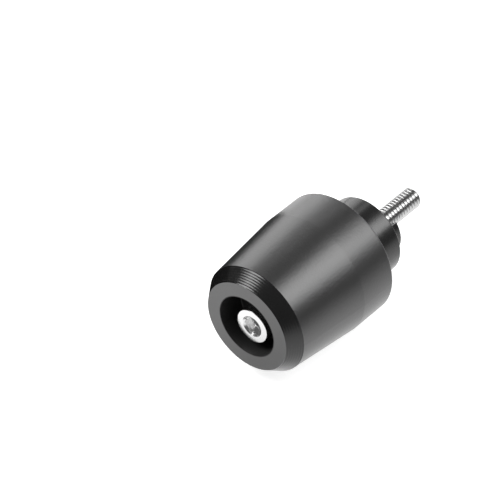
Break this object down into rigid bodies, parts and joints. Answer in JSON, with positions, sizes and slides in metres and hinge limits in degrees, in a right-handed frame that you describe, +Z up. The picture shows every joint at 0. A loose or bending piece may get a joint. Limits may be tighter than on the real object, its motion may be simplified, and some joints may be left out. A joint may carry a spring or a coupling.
{
  "type": "bar end weight",
  "caption": "Round tapered bar end weight with a recessed face, a collar with a half-round register for the handlebar tube, and a loose socket cap screw through both.",
  "frame": {"origin": "on the axis of the collar and the screw, in the plane of the collar's shoulder, which seats on the end of the handlebar tube", "axes": "+Y along the axis, out of the inner end towards the tube, where the register and the stud point; the recessed outer face looks towards -Y; +Z is up as the part lies, with the weight's own axis 1.47 mm above that of the loose screw"},
  "size_m": [0.0362, 0.0701, 0.0362],
  "materials": {
    "anodised_aluminium": "turned, bead blasted and black anodised, satin, with fine tool grooves on the chamfer",
    "stainless_steel": "bright stainless steel, knurled head and rolled thread"
  },
  "bodies": {
    "root": {"weight_body": "anodised_aluminium", "register_collar": "anodised_aluminium", "cap_screw": "stainless_steel"}
  },
  "joints": []
}
